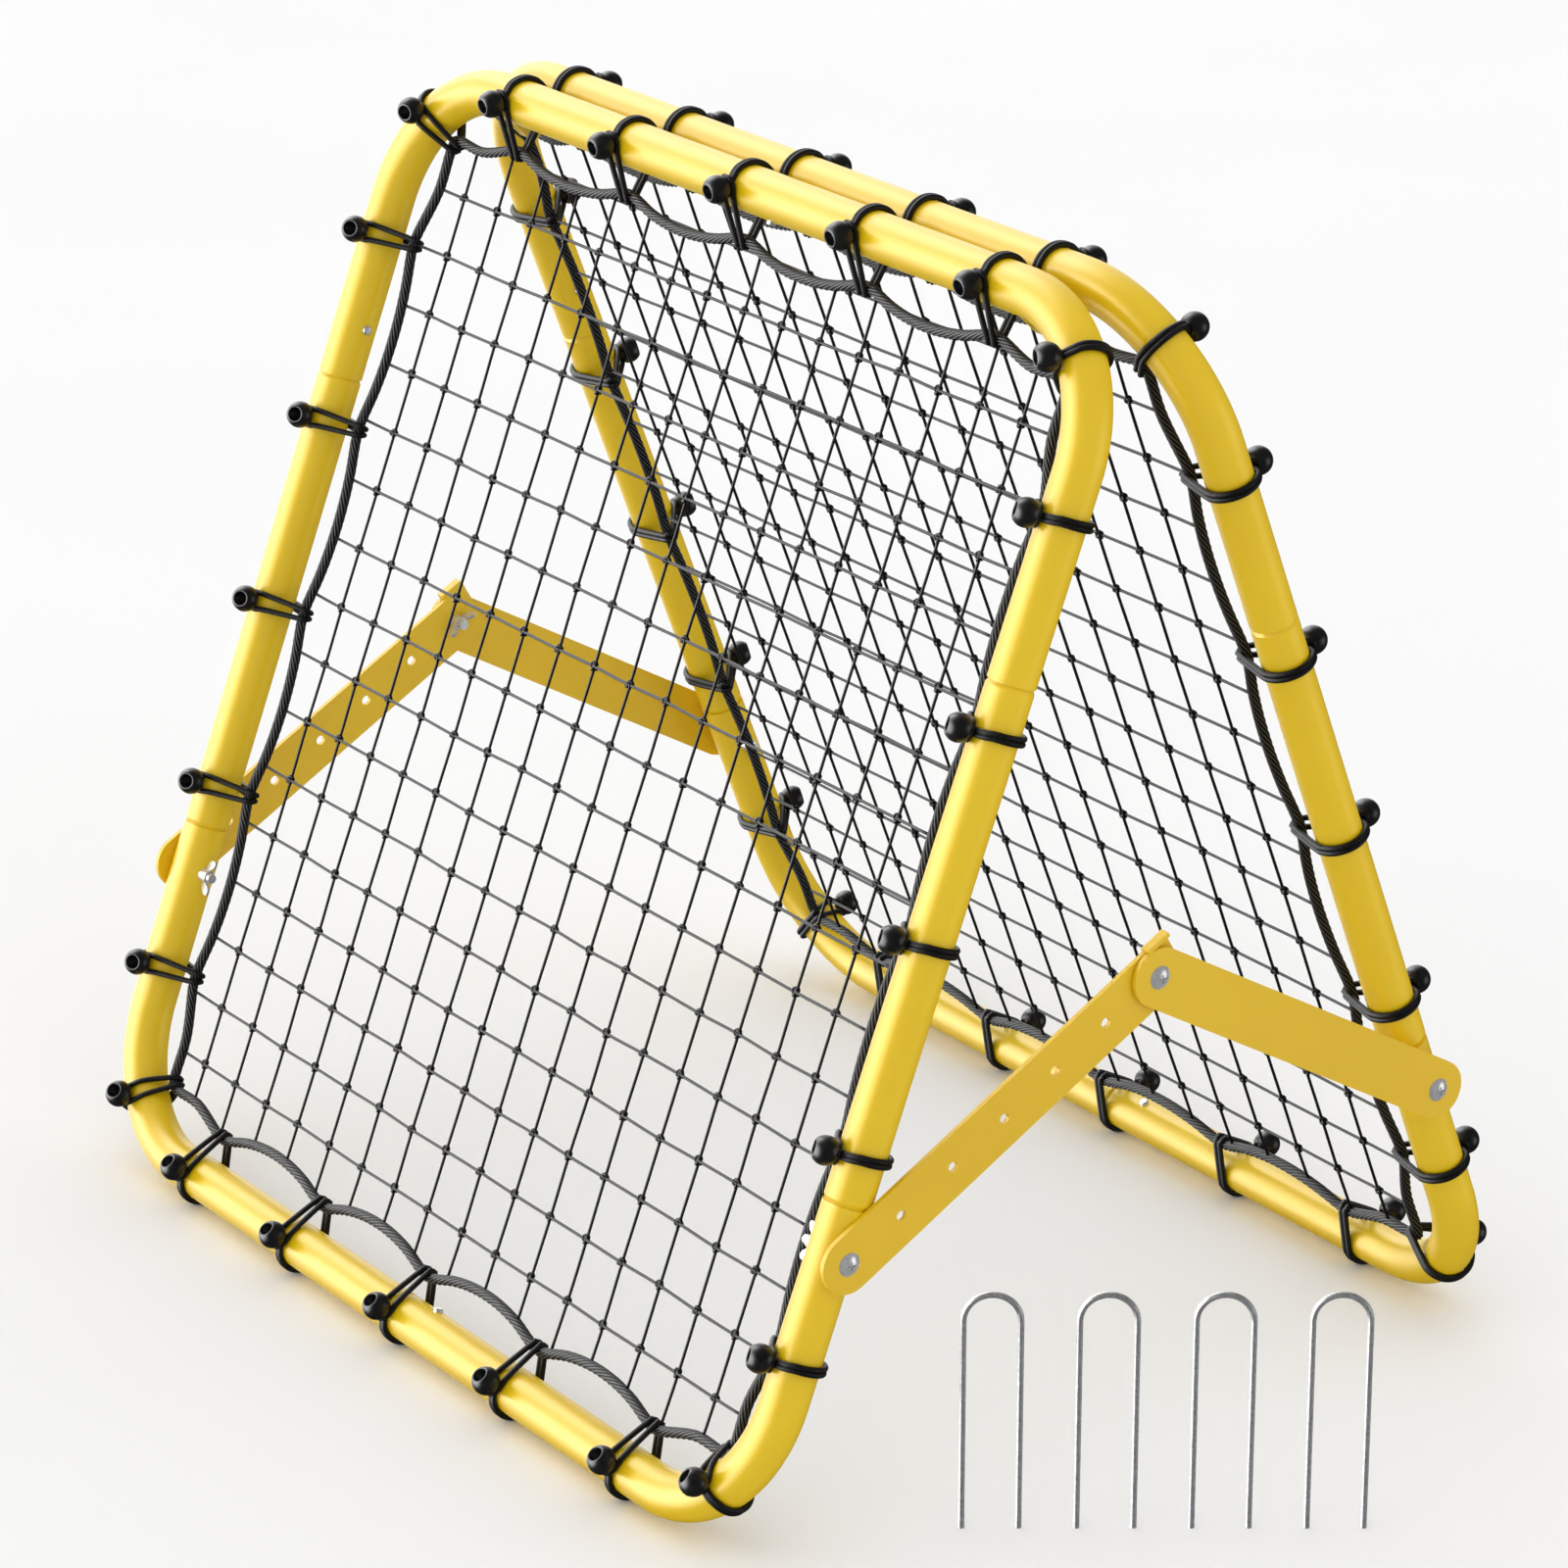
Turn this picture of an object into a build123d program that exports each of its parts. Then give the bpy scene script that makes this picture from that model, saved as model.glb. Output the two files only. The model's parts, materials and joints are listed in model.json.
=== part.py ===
from build123d import *
import math
import os

os.makedirs("parts", exist_ok=True)

# Axes: +X along the top bars, the front frame on the -Y side, +Z up, floor at Z = 0.
# A frame is drawn flat first: U along X, V up the frame, W outward; its centre is the origin.

# frames, mm
FRAME_OUTER = 990.0
TUBE_R = 19.0
TUBE_WALL = 1.5
BEND_R = 114.0
LEAN = math.radians(21.05)
TOP_BAR_Y = 25.95
HALF = FRAME_OUTER / 2 - TUBE_R

# swaged joints between the tubes
SEAM_V = 204.0
NECK_R = 17.4
NECK_CONE = 3.0
NECK_LENGTH = 60.0
RIM_GAP = 1.0

# snap buttons and their leaf springs
BUTTON_ABOVE_SEAM = 44.0
BUTTON_PAST_MID = 39.0
BUTTON_R = 4.0
BUTTON_HOLE_R = 4.06
BUTTON_TIP = 22.0
BUTTON_TIP_FILLET = 1.6
FLANGE_R = 5.5
FLANGE_BOTTOM = 13.1
FLANGE_TOP = 14.6
SPRING_WIDTH = 8.0
SPRING_SHEET = 0.7

# elastic ties: cord, ball, hook round the border rope
CORD_R = 2.4
CORD_SEAT = 0.1
STRAND_APART = 4.9
TIE_PITCH = 165.0
TIES_EACH_WAY = 2
BALL_R = 11.5
BALL_OUT = 31.5
BALL_BASE = 24.0
BALL_BORE_R = 5.6
BALL_BORE_DEPTH = 13.0
BALL_TILT = math.radians(30)
BALL_RISE = {"top": 8.0, "bottom": 6.0, "left": 5.0, "right": 5.0}
CORNER_BALL_RISE = 2.5

# border rope and net
ROPE_R = 4.75
NET_IN = 9.5
ROPE_IN = {"top": 37.0, "bottom": 35.5, "left": 37.0, "right": 37.0}
ROPE_SAG = {"top": 19.0, "bottom": 12.0, "left": 15.0, "right": 15.0}
ROPE_SAG_CORNER = 4.0
ROPE_CORNER = 422.0
ROPE_LEVEL = 9.0
NET_HALF = 416.0
NET_DROP = 5.0
NET_CORNER_R = 20.0
NET_THICK = 2.5

# hinge between the top bars
HINGE_BELOW_BARS = 30.0
HINGE_SHIFT = -6.0
LUG_R = 10.0
LUG_ROOT_R = 13.0
LUG_GAP = 0.2
CHEEK_X = 350.0
CHEEK_THICK = 3.0
TONGUE_THICK = 5.0
TONGUE_SIDE_GAP = 0.5
PIN_R = 3.0
PIN_HOLE_R = 3.06
PIN_HEAD_R = 5.5
PIN_HEAD_THICK = 2.0

# folding links
PIVOT_BELOW_SEAM = 39.5
HOLE_PITCH = 54.7
HOLE_COUNT = 7
BAR_HALF_WIDTH = 24.0
BAR_THICK = 4.0
HOLE_R = 4.2
STRUT_X = 19.5
PLATE_X = 24.5
STRUT_PAST_ELBOW = 23.0
TAB_LENGTH = 22.0
TAB_OFF_EDGE = 0.5
TAB_REACH = 10.0
WASHER_R = 9.0
WASHER_GAP = 0.1

# bolts and wing nuts
BOLT_R = 4.1
HEAD_R = 9.5
HEAD_HEIGHT = 3.5
HEAD_GAP = 0.1
RECESS_LENGTH = 7.0
RECESS_WIDTH = 1.4
RECESS_DEPTH = 1.6
NUT_R = 6.3
NUT_TOP_R = 5.4
NUT_HEIGHT = 8.0
NUT_HOLE_R = 4.15
WING_THICK = 2.6
BOLT_PAST_NUT = 5.0
SPACER_R = 8.0
SPACER_GAP = 0.2

# ground stakes, standing beside the frame
STAKE_WIRE_R = 2.5
STAKE_HEIGHT = 198.0
STAKE_SPAN = 43.5
STAKE_FIRST = (525.4, -170.8)
STAKE_PITCH = 87.6
STAKE_ROW_ANGLE = 55.0
STAKE_COUNT = 4

# positions that follow
BAR_Z = TUBE_R + CORD_SEAT + 2 * CORD_R
CENTRE_Y = TOP_BAR_Y + HALF * math.sin(LEAN)
CENTRE_Z = BAR_Z + HALF * math.cos(LEAN)
HINGE_Z = BAR_Z + 2 * HALF * math.cos(LEAN) - HINGE_BELOW_BARS
PIVOT_V = -(SEAM_V + PIVOT_BELOW_SEAM)
PIVOT_Y = CENTRE_Y - PIVOT_V * math.sin(LEAN)
PIVOT_Z = CENTRE_Z + PIVOT_V * math.cos(LEAN)
LINK_LENGTH = HOLE_PITCH * (HOLE_COUNT - 1)
ELBOW_Z = PIVOT_Z + math.sqrt(LINK_LENGTH**2 - PIVOT_Y**2)

FRONT = Plane(
    origin=(0, -CENTRE_Y, CENTRE_Z), x_dir=(1, 0, 0), z_dir=(0, -math.cos(LEAN), math.sin(LEAN))
)
BOTTOM = (Align.CENTER, Align.CENTER, Align.MIN)


def front(shape):
    """A flat-drawn frame piece, stood up as the front frame."""
    return FRONT * shape


def rear_mirrored(shape):
    """The same piece in the rear frame, front and back swapped."""
    return mirror(front(shape), about=Plane.XZ)


def rear_turned(shape):
    """The same piece in the rear frame, as if the front one had been turned round."""
    return Rot(0, 0, 180) * front(shape)


def flip_u(shape):
    return mirror(shape, about=Plane.YZ)


def flip_v(shape):
    return mirror(shape, about=Plane.XZ)


def along(origin, direction, shape):
    """A piece drawn up +Z from the origin, put at a point and pointed in a direction."""
    return Plane(origin=origin, z_dir=direction) * shape


def rod(radius, start, end):
    """A cylinder on the Z axis between two heights."""
    return Pos(0, 0, start) * Cylinder(radius, end - start, align=BOTTOM)


def save(name, shapes):
    shapes = shapes if isinstance(shapes, list) else [shapes]
    solids = [solid for shape in shapes for solid in shape.solids()]
    whole = solids[0] if len(solids) == 1 else Compound(children=solids)
    whole.label = name
    export_step(whole, f"parts/{name}.step")


# ---- tubes ----


def neck():
    """The swaged end of a tube, from its full diameter at Z = 0."""
    inner = NECK_R - TUBE_WALL
    profile = Polyline(
        (TUBE_R, 0),
        (NECK_R, NECK_CONE),
        (NECK_R, NECK_LENGTH),
        (inner, NECK_LENGTH),
        (inner, NECK_CONE),
        (TUBE_R - TUBE_WALL, 0),
        close=True,
    )
    return revolve(Plane.XZ * make_face(profile), Axis.Z)


def corner_tube(bar_end):
    """The top left corner: down to the leg seam, round the bend, along to bar_end."""
    bend = HALF - BEND_R
    path = Wire(
        [
            Edge.make_line((-HALF, SEAM_V), (-HALF, bend)),
            Edge.make_three_point_arc(
                (-HALF, bend),
                (-bend - BEND_R * math.sqrt(0.5), bend + BEND_R * math.sqrt(0.5)),
                (-bend, HALF),
            ),
            Edge.make_line((-bend, HALF), (bar_end, HALF)),
        ]
    )
    section = Plane(origin=(-HALF, SEAM_V, 0), z_dir=(0, 1, 0)) * (
        Circle(TUBE_R) - Circle(TUBE_R - TUBE_WALL)
    )
    return sweep(section, path=path)


def swaged_corner():
    end = -RIM_GAP - NECK_CONE
    return corner_tube(end) + along((end, HALF, 0), (1, 0, 0), neck())


def sleeve_corner():
    """The top right corner, whose bar end is the sleeve the left one enters."""
    return flip_u(corner_tube(0))


def leg_tube():
    """The left leg's middle length, swaged at both ends."""
    end = SEAM_V - RIM_GAP - NECK_CONE
    body = rod(TUBE_R, -end, end) - rod(TUBE_R - TUBE_WALL, -end, end)
    body = body + Pos(0, 0, end) * neck() + Pos(0, 0, -end) * Rot(180, 0, 0) * neck()
    return along((-HALF, 0, 0), (0, 1, 0), body)


def bar_button_hole():
    return along((BUTTON_PAST_MID, HALF, 0), (0, -1, 0), rod(BUTTON_HOLE_R, 0, TUBE_R + 1))


def leg_button_hole():
    at = (-HALF, SEAM_V + BUTTON_ABOVE_SEAM, 0)
    return along(at, (1, 0, 0), rod(BUTTON_HOLE_R, 0, TUBE_R + 1))


def leg_pivot_hole():
    return along((-HALF, PIVOT_V, 0), (1, 0, 0), rod(HOLE_R, -TUBE_R - 1, TUBE_R + 1))


def frame_tubes():
    top_left = swaged_corner() - bar_button_hole() - leg_button_hole()
    top_right = sleeve_corner() - bar_button_hole() - flip_u(leg_button_hole())
    low_left = flip_v(swaged_corner() - bar_button_hole()) - leg_pivot_hole()
    low_right = flip_v(sleeve_corner() - bar_button_hole()) - flip_u(leg_pivot_hole())
    leg = leg_tube() - leg_button_hole() - leg_pivot_hole()
    return {
        "top_left_tube": top_left,
        "top_right_tube": top_right,
        "left_leg_tube": leg,
        "right_leg_tube": flip_u(leg),
        "bottom_left_tube": low_left,
        "bottom_right_tube": low_right,
    }


# ---- snap buttons ----


def button():
    """A button pointing up +Z from a tube's axis, with the flange that keeps it in."""
    pin = rod(BUTTON_R, FLANGE_TOP, BUTTON_TIP)
    pin = fillet(pin.edges().group_by(Axis.Z)[-1], BUTTON_TIP_FILLET)
    return pin + rod(FLANGE_R, FLANGE_BOTTOM, FLANGE_TOP)


def leaf_spring():
    """The folded strip under a button: its bend points to -X."""
    top = FLANGE_BOTTOM - CORD_SEAT - SPRING_SHEET / 2
    wall = NECK_R - TUBE_WALL - 1.0
    line = Polyline((8, top), (-8, top), (-32, 3), (-34, 0), (-32, -3), (8, -wall))
    strip = make_face(Plane.XZ * trace(line, line_width=SPRING_SHEET).wire())
    return Pos(0, SPRING_WIDTH / 2, 0) * extrude(strip, SPRING_WIDTH, dir=(0, -1, 0))


def button_places():
    """Each button's place: a point on the tube's axis, its direction, the tube's run."""
    leg_v = SEAM_V + BUTTON_ABOVE_SEAM
    return {
        "top_bar": Plane(origin=(BUTTON_PAST_MID, HALF, 0), x_dir=(1, 0, 0), z_dir=(0, -1, 0)),
        "bottom_bar": Plane(origin=(BUTTON_PAST_MID, -HALF, 0), x_dir=(1, 0, 0), z_dir=(0, 1, 0)),
        "left_leg": Plane(origin=(-HALF, leg_v, 0), x_dir=(0, 1, 0), z_dir=(1, 0, 0)),
        "right_leg": Plane(origin=(HALF, leg_v, 0), x_dir=(0, 1, 0), z_dir=(-1, 0, 0)),
    }


# ---- elastic ties, drawn across a tube: A toward the rope, W outward ----


def tie_path(rope_away):
    """The line of one strand round the tube and round the rope, in the A-W plane."""
    round_tube = TUBE_R + CORD_SEAT + CORD_R
    round_rope = ROPE_R + CORD_SEAT + CORD_R
    apart = math.hypot(rope_away, NET_IN)
    aim = math.degrees(math.atan2(-NET_IN, rope_away))
    off = math.degrees(math.acos((round_tube - round_rope) / apart))
    tube_arc = CenterArc((0, 0), round_tube, aim + off, 360 - 2 * off)
    rope_arc = CenterArc((rope_away, -NET_IN), round_rope, aim - off, 2 * off)
    first = Line(tube_arc @ 1, rope_arc @ 0)
    second = Line(rope_arc @ 1, tube_arc @ 0)
    return Wire([tube_arc, first, rope_arc, second])


def loop(rope_away):
    """Two closed strands side by side along the tube, which runs along Z here."""
    path = tie_path(rope_away)
    strand = sweep(Plane(origin=path @ 0, z_dir=path % 0) * Circle(CORD_R), path=path)
    return [Pos(0, 0, side * STRAND_APART / 2) * strand for side in (-1, 1)]


def ball(rise):
    """A ball seated on the cords, leaned toward the rope, with its bore facing outward."""
    whole = Sphere(BALL_R) - rod(BALL_BORE_R, BALL_R - BALL_BORE_DEPTH, BALL_R + 1)
    placed = along((rise, BALL_OUT, 0), (math.sin(BALL_TILT), math.cos(BALL_TILT), 0), whole)
    return placed - rod(BALL_BASE, -2 * BALL_R, 2 * BALL_R)


def tie_places():
    """Where each tie crosses a tube: X of the plane points to the rope, Y outward."""
    steps = range(-TIES_EACH_WAY, TIES_EACH_WAY + 1)
    bend = HALF - BEND_R + BEND_R * math.sqrt(0.5)

    def place(u, v, toward):
        length = math.hypot(*toward)
        to_rope = Vector(toward[0] / length, toward[1] / length, 0)
        return Plane(origin=(u, v, 0), x_dir=to_rope, z_dir=to_rope.cross(Vector(0, 0, 1)))

    places = {
        "top": [place(TIE_PITCH * k, HALF, (0, -1)) for k in steps],
        "bottom": [place(TIE_PITCH * k, -HALF, (0, 1)) for k in steps],
    }
    for name, side in (("left", -1), ("right", 1)):
        legs = [place(side * HALF, TIE_PITCH * k, (-side, 0)) for k in steps]
        corners = [place(side * bend, up * bend, (-side, -up)) for up in (1, -1)]
        places[name] = legs + corners
    return places


def frame_ties():
    """The loops of each side, and all the balls, of one flat frame."""
    corner_away = math.hypot(1, 1) * (HALF - BEND_R + BEND_R * math.sqrt(0.5) - ROPE_CORNER)
    loops, balls = {}, []
    for side, places in tie_places().items():
        loops[side] = []
        for place in places:
            at_corner = max(abs(place.origin.X), abs(place.origin.Y)) < HALF - 1
            rope_away = corner_away if at_corner else ROPE_IN[side]
            rise = CORNER_BALL_RISE if at_corner else BALL_RISE[side]
            loops[side] += [place * piece for piece in loop(rope_away)]
            balls.append(place * ball(rise))
    return loops, balls


# ---- border rope and net ----


def rope_side(side):
    """One side's points, (along, away): level past each tie, and curved in between ties."""
    away, sag = HALF - ROPE_IN[side], ROPE_SAG[side]
    points = []
    for k in range(-TIES_EACH_WAY, TIES_EACH_WAY + 1):
        x = k * TIE_PITCH
        points += [(x - ROPE_LEVEL, away), (x + ROPE_LEVEL, away)]
        if k < TIES_EACH_WAY:
            points.append((x + TIE_PITCH / 2, away - sag))
    return add_corner_sag(points)


def add_corner_sag(points):
    """A point each side of a side's ties, halfway to the corner, a little inside the line."""
    end, away = points[-1]
    middle = (end + ROPE_CORNER) / 2
    level = (away + ROPE_CORNER) / 2 - ROPE_SAG_CORNER
    return [(-middle, level)] + points + [(middle, level)]


def border_rope():
    near, far = ROPE_CORNER - ROPE_LEVEL / 2, ROPE_CORNER + ROPE_LEVEL / 2
    points = rope_side("top") + [(near, far), (far, near)]
    points += [(away, -y) for y, away in rope_side("right")] + [(far, -near), (near, -far)]
    points += [(-x, -away) for x, away in rope_side("bottom")] + [(-near, -far), (-far, -near)]
    points += [(-away, y) for y, away in rope_side("left")] + [(-far, near), (-near, far)]
    path = Wire([Edge.make_spline([Vector(x, y, -NET_IN) for x, y in points], periodic=True)])
    return sweep(Plane(origin=path @ 0, z_dir=path % 0) * Circle(ROPE_R), path=path)


def net():
    sheet = RectangleRounded(2 * NET_HALF, 2 * NET_HALF, NET_CORNER_R)
    return Pos(0, -NET_DROP, -NET_IN - NET_THICK / 2) * extrude(sheet, NET_THICK)


# ---- hinge ----


def lug(thick):
    """A lug from the hinge axis to the front top bar, against X = 0 toward +X."""
    bar = (-TOP_BAR_Y, HINGE_BELOW_BARS)
    rim = [Edge.make_circle(LUG_R), Pos(*bar, 0) * Edge.make_circle(LUG_ROOT_R)]
    face = make_hull(rim) - Circle(PIN_HOLE_R) - Pos(*bar, 0) * Circle(TUBE_R + LUG_GAP)
    across = Plane(origin=(0, 0, HINGE_Z), x_dir=(0, 1, 0), z_dir=(1, 0, 0))
    return across * extrude(face, thick)


def hinge():
    second = CHEEK_X + CHEEK_THICK + TONGUE_THICK + 2 * TONGUE_SIDE_GAP
    cheeks = [Pos(x, 0, 0) * lug(CHEEK_THICK) for x in (CHEEK_X, second)]
    tongue = Pos(CHEEK_X + CHEEK_THICK + TONGUE_SIDE_GAP, 0, 0) * lug(TONGUE_THICK)
    tongue = mirror(tongue, about=Plane.XZ)
    outer = second + CHEEK_THICK
    pin = rod(PIN_R, CHEEK_X, outer) + rod(PIN_HEAD_R, CHEEK_X - PIN_HEAD_THICK, CHEEK_X)
    pin = pin + rod(PIN_HEAD_R, outer, outer + PIN_HEAD_THICK)
    pin = along((0, 0, HINGE_Z), (1, 0, 0), pin)
    return cheeks, tongue, pin


# ---- folding links, drawn on the right-hand side ----


def link_face(length, square_end):
    """A flat bar from its pivot at the origin along +X, with both end holes."""
    end = length + STRUT_PAST_ELBOW if square_end else length
    face = Pos(end / 2, 0) * Rectangle(end, 2 * BAR_HALF_WIDTH) + Circle(BAR_HALF_WIDTH)
    if not square_end:
        face = face + Pos(length, 0) * Circle(BAR_HALF_WIDTH)
    holes = [0, length]
    if square_end:
        holes = [k * HOLE_PITCH for k in range(HOLE_COUNT)]
    for x in holes:
        face = face - Pos(x, 0) * Circle(HOLE_R)
    return face


def strut():
    """Seven holes, a square end past the elbow, and a tab bent out over the plate."""
    bar = extrude(link_face(LINK_LENGTH, True), BAR_THICK)
    end = LINK_LENGTH + STRUT_PAST_ELBOW
    edge = BAR_HALF_WIDTH + TAB_OFF_EDGE
    corner = (Align.MAX, Align.MIN, Align.MIN)
    tab = Pos(end, edge, 0) * Box(TAB_LENGTH, BAR_THICK, TAB_REACH, align=corner)
    root = Pos(end, edge - BAR_THICK, 0) * Box(TAB_LENGTH, BAR_THICK, BAR_THICK, align=corner)
    tab = fillet((tab + root).edges().filter_by(Axis.X).group_by(Axis.Y)[-1].sort_by(Axis.Z)[:1], 3)
    across = Vector(0, PIVOT_Y, ELBOW_Z - PIVOT_Z)
    place = Plane(origin=(HALF + STRUT_X, -PIVOT_Y, PIVOT_Z), x_dir=across, z_dir=(1, 0, 0))
    return place * (bar + tab)


def plate():
    down = Vector(0, PIVOT_Y, PIVOT_Z - ELBOW_Z)
    place = Plane(origin=(HALF + PLATE_X, 0, ELBOW_Z), x_dir=down, z_dir=(1, 0, 0))
    return place * extrude(link_face(LINK_LENGTH, False), BAR_THICK)


def bolt_head():
    """A domed head with a cross recess, its flat side at Z = 0."""
    dome_r = (HEAD_R**2 + HEAD_HEIGHT**2) / (2 * HEAD_HEIGHT)
    head = Pos(0, 0, HEAD_HEIGHT - dome_r) * Sphere(dome_r)
    head = head & rod(HEAD_R, 0, HEAD_HEIGHT + 1)
    for turn in (0, 90):
        slot = Box(RECESS_LENGTH, RECESS_WIDTH, RECESS_DEPTH, align=BOTTOM)
        head = head - Pos(0, 0, HEAD_HEIGHT - RECESS_DEPTH) * Rot(0, 0, turn) * slot
    return head


def at_pivot(y, z, shape):
    """A piece drawn up +Z, put on a right-hand pivot with Z = 0 on the leg's axis plane."""
    return along((HALF, y, z), (1, 0, 0), shape)


def front_pivot_bolt():
    under = STRUT_X + BAR_THICK + HEAD_GAP
    tail = -TUBE_R - HEAD_GAP - NUT_HEIGHT - BOLT_PAST_NUT
    return rod(BOLT_R, tail, under) + Pos(0, 0, under) * bolt_head()


def elbow_bolt():
    under = PLATE_X + BAR_THICK + HEAD_GAP
    tail = STRUT_X - HEAD_GAP - NUT_HEIGHT - BOLT_PAST_NUT
    return rod(BOLT_R, tail, under) + Pos(0, 0, under) * bolt_head()


def rear_bolt_head():
    """The rear bolt's head and the stub of shank inside the plate."""
    under = PLATE_X + BAR_THICK + HEAD_GAP
    return rod(BOLT_R, PLATE_X, under) + Pos(0, 0, under) * bolt_head()


def rear_bolt_shank():
    tail = -TUBE_R - HEAD_GAP - NUT_HEIGHT - BOLT_PAST_NUT
    return rod(BOLT_R, tail, PLATE_X - SPACER_GAP)


def spacer():
    """A sleeve from the rear leg's wall to the plate, cut to the tube's curve."""
    ring = rod(SPACER_R, NECK_R, PLATE_X - SPACER_GAP) - rod(HOLE_R, 0, PLATE_X)
    leg = Cylinder(TUBE_R, 4 * TUBE_R)
    up = (0, -math.sin(LEAN), math.cos(LEAN))
    return at_pivot(PIVOT_Y, PIVOT_Z, ring) - along((HALF, PIVOT_Y, PIVOT_Z), up, leg)


def elbow_washer():
    inner, outer = STRUT_X + BAR_THICK, PLATE_X - WASHER_GAP
    return rod(WASHER_R, inner, outer) - rod(HOLE_R, inner, outer)


def wing_nut():
    """Hub and two wings, its flat side at Z = 0, its wings toward +Z and along X."""
    hub = Cone(NUT_R, NUT_TOP_R, NUT_HEIGHT, align=BOTTOM)
    outline = Polyline(
        (3, 1), (7, 1.2), (12, 3.2), (15, 7.5), (15, 11.5), (12.5, 13.2), (9, 11.5), (6, 7.6), (3, 7.6),
        close=True,
    )
    wing = extrude(Plane.XZ * make_face(outline), WING_THICK / 2, both=True)
    nut = hub + wing + mirror(wing, about=Plane.YZ)
    return nut - rod(NUT_HOLE_R, -1, 2 * NUT_HEIGHT)


def nut_at(y, z, seat, tilt):
    """A wing nut on a pivot, facing inward, its wings tilted from the Y axis."""
    wings = Vector(0, math.cos(tilt), math.sin(tilt))
    place = Plane(origin=(HALF + seat, y, z), x_dir=wings, z_dir=(-1, 0, 0))
    return place * wing_nut()


# ---- stakes ----


def stake(index):
    """A U of wire standing on its two feet, its span along the row."""
    half = STAKE_SPAN / 2
    top = STAKE_HEIGHT - STAKE_WIRE_R - half
    path = Wire(
        [
            Edge.make_line((-half, 0, 0), (-half, 0, top)),
            Edge.make_three_point_arc((-half, 0, top), (0, 0, top + half), (half, 0, top)),
            Edge.make_line((half, 0, top), (half, 0, 0)),
        ]
    )
    wire = sweep(Pos(-half, 0, 0) * Circle(STAKE_WIRE_R), path=path)
    row = math.radians(STAKE_ROW_ANGLE)
    x = STAKE_FIRST[0] + index * STAKE_PITCH * math.cos(row)
    y = STAKE_FIRST[1] + index * STAKE_PITCH * math.sin(row)
    return Pos(x, y, 0) * Rot(0, 0, STAKE_ROW_ANGLE) * wire


# ---- the two frames ----

loops, balls = frame_ties()
places = button_places()
for frame, stand, net_stand in (
    ("front", front, front),
    ("rear", rear_mirrored, rear_turned),
):
    for name, shape in frame_tubes().items():
        save(f"{frame}_{name}", stand(shape))
    for name, place in places.items():
        save(f"{frame}_{name}_button", stand(place * button()))
    save(f"{frame}_button_springs", [stand(place * leaf_spring()) for place in places.values()])
    for side, pieces in loops.items():
        save(f"{frame}_{side}_loops", [net_stand(piece) for piece in pieces])
    save(f"{frame}_balls", [net_stand(piece) for piece in balls])
    save(f"{frame}_border_rope", net_stand(border_rope()))
    save(f"{frame}_net", net_stand(net()))

# ---- hinge, links and their fasteners, right side and mirrored left side ----

cheeks, tongue, pin = hinge()
sideways = Pos(HINGE_SHIFT, 0, 0)
hinges = {"front_hinge_lugs": cheeks, "rear_hinge_lugs": [tongue], "hinge_pins": [pin]}
for name, pieces in hinges.items():
    both_sides = pieces + [flip_u(piece) for piece in pieces]
    save(name, [sideways * piece for piece in both_sides])

front_bolt = at_pivot(-PIVOT_Y, PIVOT_Z, front_pivot_bolt())
rear_bolt = at_pivot(PIVOT_Y, PIVOT_Z, rear_bolt_shank())
rear_spacer = spacer()
save("front_pivot_bolts", [front_bolt, flip_u(front_bolt)])
save("rear_pivot_bolts", [rear_bolt, flip_u(rear_bolt)])
save("rear_spacers", [rear_spacer, flip_u(rear_spacer)])

legs_up = math.pi / 2 - LEAN
paired = {
    "strut": strut(),
    "plate": plate(),
    "elbow_bolt": at_pivot(0, ELBOW_Z, elbow_bolt()),
    "elbow_washer": at_pivot(0, ELBOW_Z, elbow_washer()),
    "rear_bolt_head": at_pivot(PIVOT_Y, PIVOT_Z, rear_bolt_head()),
    "front_wing_nut": nut_at(-PIVOT_Y, PIVOT_Z, -TUBE_R - HEAD_GAP, legs_up),
    "elbow_wing_nut": nut_at(0, ELBOW_Z, STRUT_X - HEAD_GAP, legs_up / 2),
    "rear_wing_nut": nut_at(PIVOT_Y, PIVOT_Z, -TUBE_R - HEAD_GAP, -legs_up),
}
for name, shape in paired.items():
    save(f"right_{name}", shape)
    save(f"left_{name}", flip_u(shape))

save("ground_stakes", [stake(index) for index in range(STAKE_COUNT)])
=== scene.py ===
"""Looks of the folding ball rebounder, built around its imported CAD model.

A frame is laid out flat first, in millimetres: U along the top bar, V up the frame, W outward,
with the frame's middle as the origin. flat_to_row() stands it up in the row frame, in metres.
"""

import json  # noqa: E402
import math  # noqa: E402
import random  # noqa: E402

import bpy  # noqa: E402
import numpy as np  # noqa: E402
from mathutils import Matrix, Vector  # noqa: E402


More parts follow.
